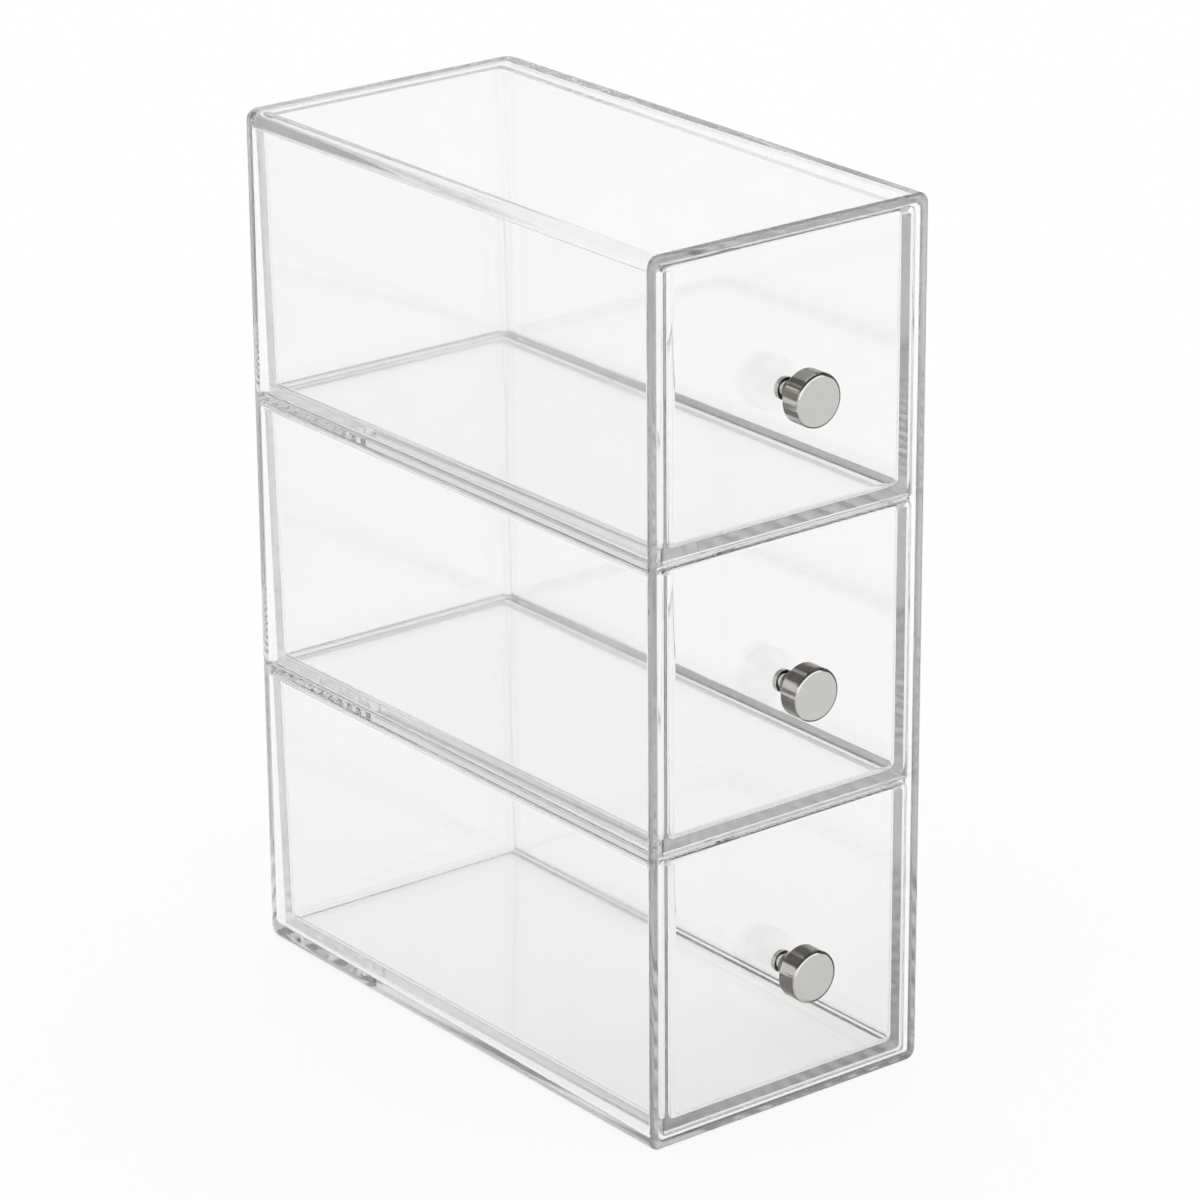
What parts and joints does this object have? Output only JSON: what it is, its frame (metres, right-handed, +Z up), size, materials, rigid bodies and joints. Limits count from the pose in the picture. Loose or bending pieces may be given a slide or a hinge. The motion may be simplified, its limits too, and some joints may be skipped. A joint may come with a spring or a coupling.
{
  "type": "craft storage drawers",
  "caption": "Clear desktop cabinet for craft stamps, beads and small parts: stacked pull-out drawers with flat inset fronts, each opened by a round chrome knob.",
  "frame": {"origin": "centre of the cabinet's flat base", "axes": "+Z up, +X to the right seen from the front, the drawers open towards -Y"},
  "size_m": [0.0952, 0.1961, 0.254],
  "materials": {
    "clear_plastic": "clear moulded plastic, polished",
    "chrome": "polished chrome plate",
    "screw_metal": "zinc-plated steel, satin"
  },
  "bodies": {
    "housing": {"cabinet": "clear_plastic"},
    "drawer_bottom": {"bottom_drawer": "clear_plastic", "bottom_knob": "chrome", "bottom_knob_screw": "screw_metal"},
    "drawer_middle": {"middle_drawer": "clear_plastic", "middle_knob": "chrome", "middle_knob_screw": "screw_metal"},
    "drawer_top": {"top_drawer": "clear_plastic", "top_knob": "chrome", "top_knob_screw": "screw_metal"}
  },
  "joints": [
    {"name": "bottom_drawer_slide", "type": "slide", "parent": "housing", "child": "drawer_bottom", "axis": [0, -1, 0], "range_m": [0, 0.15]},
    {"name": "middle_drawer_slide", "type": "slide", "parent": "housing", "child": "drawer_middle", "axis": [0, -1, 0], "range_m": [0, 0.15]},
    {"name": "top_drawer_slide", "type": "slide", "parent": "housing", "child": "drawer_top", "axis": [0, -1, 0], "range_m": [0, 0.15]}
  ]
}
